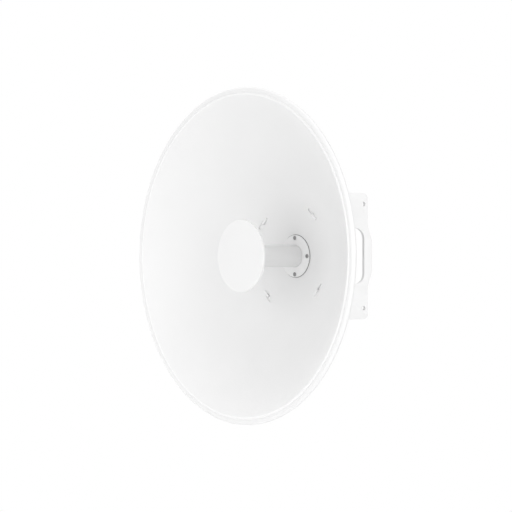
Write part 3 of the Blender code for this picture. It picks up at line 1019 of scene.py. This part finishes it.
class ANTENNA_OT_channels(Operator):
    """Bend the two channels that join the side plates, and cut their holes"""

    bl_idname = "antenna.channels"
    bl_label = "Channels"

    def execute(self, context):
        low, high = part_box("bracket_base")
        front, thick = low.y, BASE_THICK
        base = channel("base_channel", "bracket_base", front, front + thick, high.y, thick)
        place = standing((0, front, 0), QUARTER, "X")
        hole = cylinder("hole_cutter", BACKING_HOLE, -CUT_REACH, CUT_REACH, place, 96)
        combine(base, [hole])
        ease_edges(base, CHANNEL_EDGE)
        dress(base, "bracket_powder_coat", ["bracket_base"])

        low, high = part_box("mast_plate")
        rear, thick = high.y, MAST_THICK
        mast = channel("mast_channel", "mast_plate", rear, rear - thick, low.y, thick)
        long, wide = CLAMP_SLOT_LENGTH / 2, CLAMP_SLOT_WIDTH / 2
        cutters = []
        for x, z in corners_at(*CLAMP_SLOT):
            cutters.append(block(
                "clamp_slot_cutter", (x - long, -CUT_REACH, z - wide),
                (x + long, CUT_REACH, z + wide),
                corner=wide * SLOT_ROUND, axis=1, segments=10,
            ))
        combine(mast, cutters)
        ease_edges(mast, CHANNEL_EDGE)
        dress(mast, "bracket_powder_coat", ["mast_plate"])
        return {"FINISHED"}


def hex_bolt():
    """Chamfered hexagon head on a washer, standing on local Z = 0."""
    profile = [(0, WASHER_THICK), (WASHER_RADIUS - WASHER_EDGE, WASHER_THICK)]
    profile += [(WASHER_RADIUS, WASHER_THICK - WASHER_EDGE), (WASHER_RADIUS, 0), (0, 0)]
    bolt = turned("hex_bolt", profile, UPRIGHT, steps=64)
    corner = BOLT_ACROSS_FLATS / math.sqrt(3)
    flat = BOLT_ACROSS_FLATS / 2
    head = cylinder("hexagon", corner, WASHER_THICK / 2, BOLT_TOP, UPRIGHT, sides=6)
    reach = corner * LATHE_REACH
    lathe = [(0, BOLT_TOP), (flat * HEAD_TOP, BOLT_TOP), (reach, BOLT_TOP - HEAD_CHAMFER)]
    lathe += [(reach, 0), (0, 0)]
    combine(head, [turned("lathe", lathe, UPRIGHT, steps=64)], "INTERSECT")
    dimple = [(0, DIMPLE_TOP), (flat * DIMPLE_MOUTH, DIMPLE_TOP)]
    dimple += [(flat * DIMPLE_FLOOR, BOLT_TOP - DIMPLE_EDGE_DEPTH), (0, BOLT_TOP - DIMPLE_DEPTH)]
    combine(head, [turned("dimple", dimple, UPRIGHT, steps=48)])
    rim = flat * COLLAR
    collar = [(0, COLLAR_HIGH), (rim, COLLAR_HIGH), (rim, COLLAR_LOW), (0, COLLAR_LOW)]
    combine(head, [turned("collar", collar, UPRIGHT, steps=64)], "UNION")
    combine(bolt, [head], "UNION")
    clean(bolt)
    return bolt


class ANTENNA_OT_bolts(Operator):
    """Model the bracket's twelve hexagon bolts with their washers"""

    bl_idname = "antenna.bolts"
    bl_label = "Bolts"

    def execute(self, context):
        bolt = hex_bolt()
        turns = {
            "base_bolt": Matrix.Rotation(-QUARTER, 4, "X"),
            "side_bolt_right": Matrix.Rotation(QUARTER, 4, "Y"),
            "side_bolt_left": Matrix.Rotation(-QUARTER, 4, "Y"),
        }
        for group, turn in turns.items():
            outwards = turn @ Vector((0, 0, 1))
            for number in range(1, 5):
                low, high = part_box(f"{group}_{number}")
                seat = (low + high) / 2 - outwards * BOLT_TOP / 2
                spin = Matrix.Rotation(math.radians(BOLT_TURN * number), 4, "Z")
                node = f"{group}_{number}"
                piece = copied(bolt, f"m8_{node}", Matrix.Translation(seat) @ turn @ spin)
                dress(piece, "bolt_steel", [node], smoothest=30.0)
        bpy.data.objects.remove(bolt, do_unlink=True)
        return {"FINISHED"}


class ANTENNA_OT_housing(Operator):
    """Model the feed housing behind the bowl, its cover and the cover's screws"""

    bl_idname = "antenna.housing"
    bl_label = "Feed housing"

    def execute(self, context):
        low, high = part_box("feed_housing")
        half = high.x
        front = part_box("bracket_base")[0].y + BASE_THICK + GAP
        body = block(
            "cast_body", (-half, front, -half), (half, high.y, half), HOUSING_CORNER, axis=1
        )
        pick(body, "polygons", faces_along((0, 1, 0)))
        bpy.ops.mesh.inset(thickness=COVER_SEAT_RIM, depth=0)
        step = (0, -COVER_SEAT_DEPTH, 0)
        bpy.ops.mesh.extrude_region_move(TRANSFORM_OT_translate={"value": step})
        bpy.ops.object.mode_set(mode="OBJECT")
        clean(body)
        ease_edges(body, HOUSING_EDGE, segments=3, sharpest=50.0)
        place = standing((0, low.y, 0), -QUARTER, "X")
        spigot = cylinder("spigot", SPIGOT_RADIUS, 0, front - low.y + SPIGOT_OVERLAP, place, 96)
        combine(body, [spigot], "UNION")
        dress(body, "dish_powder_coat", ["feed_housing"])

        low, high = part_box("housing_cover")
        low.y -= COVER_SINK
        cover = block("cover", low, high, HOUSING_CORNER, axis=1)
        ease_edges(cover, COVER_EDGE, segments=3, sharpest=50.0)
        dress(cover, "dish_powder_coat", ["housing_cover"])

        screw = socket_screw(COVER_SCREW, steps=36)
        spots = corners_at(COVER_SCREW_OFFSET, COVER_SCREW_OFFSET)
        for number, (x, z) in enumerate(spots, start=1):
            place = standing((x, high.y, z), -QUARTER, "X")
            piece = copied(screw, f"cover_screw_{number}", place)
            dress(piece, "bolt_steel")
        bpy.data.objects.remove(screw, do_unlink=True)
        return {"FINISHED"}


def thread(radius, start, end):
    """Profile of ridges that stands for a thread, from one height down to the other."""
    points = []
    for turn in range(round((start - end) / THREAD_PITCH)):
        crest = start - THREAD_PITCH * (turn + 0.5)
        points += [(radius - THREAD_DEPTH, crest + THREAD_PITCH * THREAD_ROOT)]
        points += [(radius, crest + THREAD_PITCH * THREAD_CREST)]
        points += [(radius, crest - THREAD_PITCH * THREAD_CREST)]
    return points + [(radius - THREAD_DEPTH, end)]


class ANTENNA_OT_sockets(Operator):
    """Turn the two threaded radio sockets below the housing, with their contacts"""

    bl_idname = "antenna.sockets"
    bl_label = "Radio sockets"

    def execute(self, context):
        top, base = SOCKET_LENGTH, SOCKET_FLANGE_THICK
        floor = top - SOCKET_BORE_DEPTH
        shell_profile = [(0, floor), (SOCKET_BORE, floor), (SOCKET_BORE, top - MOUTH_DEPTH)]
        shell_profile += [(SOCKET_BORE + MOUTH_WIDENING, top), (SOCKET_RADIUS - SOCKET_NOSE, top)]
        shell_profile += thread(SOCKET_RADIUS, top - THREAD_START, base + SOCKET_COLLAR)
        shell_profile += [(SOCKET_RADIUS - SOCKET_NECK, base)]
        shell_profile += [(SOCKET_FLANGE_RADIUS - SOCKET_EDGE, base)]
        shell_profile += [(SOCKET_FLANGE_RADIUS, base - SOCKET_EDGE)]
        shell_profile += [(SOCKET_FLANGE_RADIUS, 0), (0, 0)]

        seat, rise = floor + GAP, floor + INSULATOR_THICK
        edge = SOCKET_BORE - INSULATOR_PLAY
        ring = [(INSULATOR_HOLE, rise), (edge, rise), (edge, seat), (INSULATOR_HOLE, seat)]
        tip = top - CONTACT_TIP_DEPTH
        pin = [(0, tip), (CONTACT_TIP_RADIUS, tip), (CONTACT_RADIUS, tip - CONTACT_TIP_LENGTH)]
        pin += [(CONTACT_RADIUS, seat), (0, seat)]

        for name in ("right", "left"):
            low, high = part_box(f"radio_socket_{name}")
            middle = (low + high) / 2
            place = standing((middle.x, middle.y, high.z), math.pi, "X")
            shell = turned(f"threaded_socket_{name}", shell_profile, place, steps=72)
            node = f"radio_socket_{name}"
            dress(shell, "plated_brass", [node], smoothest=30.0)
            insulator = turned(f"insulator_{name}", ring, place, steps=48)
            dress(insulator, "moulded_plastic")
            contact = turned(f"contact_{name}", pin, place, steps=24)
            dress(contact, "plated_brass")
        return {"FINISHED"}


def soft_light(name, place, aim, size, power):
    light = bpy.data.lights.new(name, "AREA")
    light.shape = "RECTANGLE"
    light.size, light.size_y = size
    light.energy = power
    obj = bpy.data.objects.new(name, light)
    obj.location = place
    obj.rotation_euler = (Vector(aim) - Vector(place)).to_track_quat("-Z", "Y").to_euler()
    bpy.context.scene.collection.objects.link(obj)
    return obj


class ANTENNA_OT_stage(Operator):
    """Set up the pale floor, the white surround, the soft light and the camera"""

    bl_idname = "antenna.stage"
    bl_label = "Stage"

    def execute(self, context):
        studio = context.scene.antenna_studio
        deselect_all()
        bpy.ops.mesh.primitive_circle_add(
            vertices=128, radius=FLOOR_RADIUS, fill_type="NGON",
            location=(0, 0, -studio.floor_drop),
        )
        bpy.ops.object.transform_apply()
        floor = named("floor")
        material, tree, shader, place = start_material("floor_paint")
        tint(tree, place, shader, FLOOR_PAINT, darker=0.985, scale=3.0, detail=3.0)
        shader.inputs["Roughness"].default_value = FLOOR_ROUGHNESS
        floor.data.materials.append(material)

        world = bpy.data.worlds.new("studio")
        context.scene.world = world
        world.use_nodes = True
        nodes, links = world.node_tree.nodes, world.node_tree.links
        seen = nodes["Background"]
        seen.inputs["Color"].default_value = (1, 1, 1, 1)
        seen.inputs["Strength"].default_value = studio.background
        lighting = nodes.new("ShaderNodeBackground")
        lighting.inputs["Strength"].default_value = studio.surround
        direction = nodes.new("ShaderNodeSeparateXYZ")
        links.new(nodes.new("ShaderNodeTexCoord").outputs["Generated"], direction.inputs["Vector"])
        along = ranged(world.node_tree, direction.outputs["Y"], 0.0, 1.0, start=1.0, end=-1.0)
        bands = nodes.new("ShaderNodeValToRGB")
        stops = bands.color_ramp.elements
        for share, _ in SURROUND_BANDS[1:-1]:
            stops.new(share)
        for stop, (share, tone) in zip(stops, SURROUND_BANDS):
            stop.position = share
            stop.color = (tone, tone, tone, 1)
        links.new(along, bands.inputs["Fac"])
        links.new(bands.outputs["Color"], lighting.inputs["Color"])
        path = nodes.new("ShaderNodeLightPath")
        mix = nodes.new("ShaderNodeMixShader")
        links.new(path.outputs["Is Camera Ray"], mix.inputs["Fac"])
        links.new(lighting.outputs["Background"], mix.inputs[1])
        links.new(seen.outputs["Background"], mix.inputs[2])
        links.new(mix.outputs["Shader"], nodes["World Output"].inputs["Surface"])

        middle = Vector((0, CREST_Y, 0))
        for name, degrees, size in SOFTBOXES:
            turn = Matrix.Rotation(math.radians(degrees), 3, "Z")
            place = middle + turn @ Vector((0, -SOFTBOX_DISTANCE, 0))
            power = getattr(studio, f"{name}_light")
            soft_light(f"{name}_softbox", place, middle, (size, size), power)

        across = Vector((math.cos(studio.azimuth), math.sin(studio.azimuth), 0))
        level = math.cos(studio.elevation)
        back = Vector((
            math.sin(studio.azimuth) * level,
            -math.cos(studio.azimuth) * level,
            math.sin(studio.elevation),
        ))
        lens = bpy.data.cameras.new("camera")
        lens.lens = studio.focal_length
        lens.sensor_width = SENSOR_WIDTH
        camera = bpy.data.objects.new("camera", lens)
        camera.location = middle + back * studio.distance
        aim = middle + across * studio.aside
        camera.rotation_euler = (aim - camera.location).to_track_quat("-Z", "Y").to_euler()
        context.scene.collection.objects.link(camera)
        context.scene.camera = camera
        context.scene.view_settings.view_transform = "Standard"
        return {"FINISHED"}


OPERATORS = (
    ANTENNA_OT_stage,
    ANTENNA_OT_reflector,
    ANTENNA_OT_locking_tabs,
    ANTENNA_OT_feed,
    ANTENNA_OT_flange_screws,
    ANTENNA_OT_backing_plate,
    ANTENNA_OT_side_plates,
    ANTENNA_OT_channels,
    ANTENNA_OT_bolts,
    ANTENNA_OT_housing,
    ANTENNA_OT_sockets,
)
GROUPS = {
    "antenna_dish": DishSizes,
    "antenna_finishes": Finishes,
    "antenna_studio": StudioSettings,
}


class ANTENNA_PT_panel(Panel):
    """Sizes, finishes and pieces of the dish antenna"""

    bl_idname = "ANTENNA_PT_panel"
    bl_label = "Dish Antenna"
    bl_space_type = "VIEW_3D"
    bl_region_type = "UI"
    bl_category = "Dish Antenna"

    def draw(self, context):
        for name, group in GROUPS.items():
            box = self.layout.box()
            for key in group.__annotations__:
                box.prop(getattr(context.scene, name), key)
        for operator in OPERATORS:
            self.layout.operator(operator.bl_idname)


def register():
    for item in (*GROUPS.values(), *OPERATORS, ANTENNA_PT_panel):
        bpy.utils.register_class(item)
    for name, group in GROUPS.items():
        setattr(bpy.types.Scene, name, PointerProperty(type=group))


def unregister():
    for name in GROUPS:
        delattr(bpy.types.Scene, name)
    for item in reversed((*GROUPS.values(), *OPERATORS, ANTENNA_PT_panel)):
        bpy.utils.unregister_class(item)


def main():
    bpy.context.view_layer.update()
    register()
    for operator in OPERATORS:
        module, name = operator.bl_idname.split(".")
        getattr(getattr(bpy.ops, module), name)()


if __name__ == "__main__":
    main()
